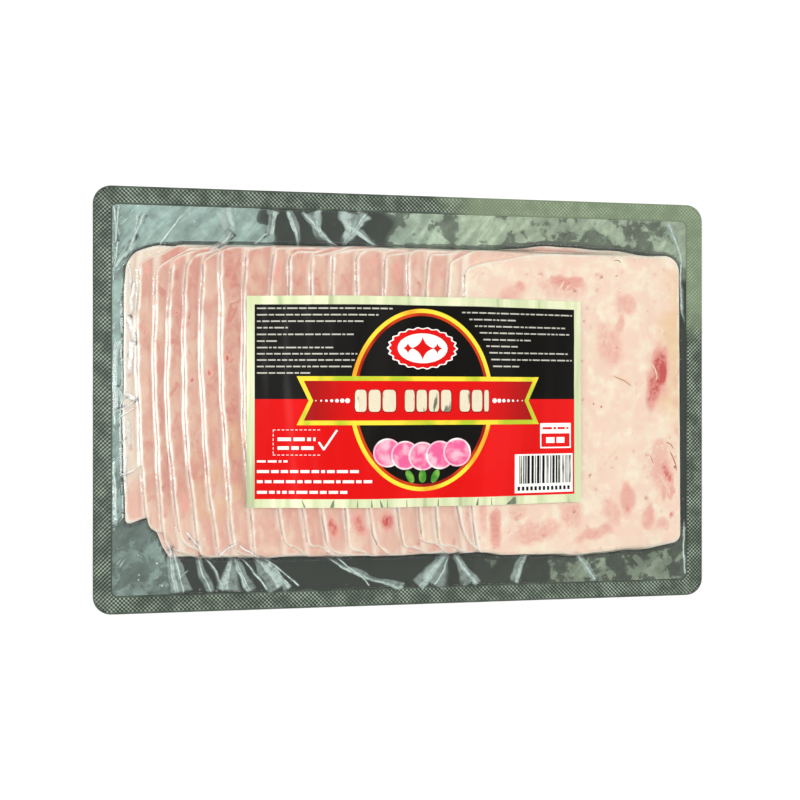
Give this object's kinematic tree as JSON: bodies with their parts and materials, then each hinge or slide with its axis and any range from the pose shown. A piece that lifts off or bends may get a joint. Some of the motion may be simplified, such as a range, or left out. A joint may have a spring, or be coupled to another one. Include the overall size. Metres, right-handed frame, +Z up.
{
  "type": "vacuum pack of sliced ham",
  "caption": "Flat vacuum pack of shingled pink ham slices under clear film on a dark bottom film, with a red and black label across the middle.",
  "frame": {"origin": "middle of the pack's outline, on the underside that it lies on", "axes": "+X along the pack, the way the slices overlap, +Y across it towards the label's top edge, +Z up from the dark bottom film to the label"},
  "size_m": [0.284, 0.188, 0.0255],
  "materials": {
    "dark_film": "dark grey-green film, glossy, with a fine diamond pattern pressed into the seal",
    "ham_under_film": "pale pink ham under clear glossy film drawn tight over the steps",
    "foil_label": "red and black print on silver foil, glossy"
  },
  "bodies": {
    "root": {"bottom_film": "dark_film", "sealed_bag": "ham_under_film", "label": "foil_label"}
  },
  "joints": []
}
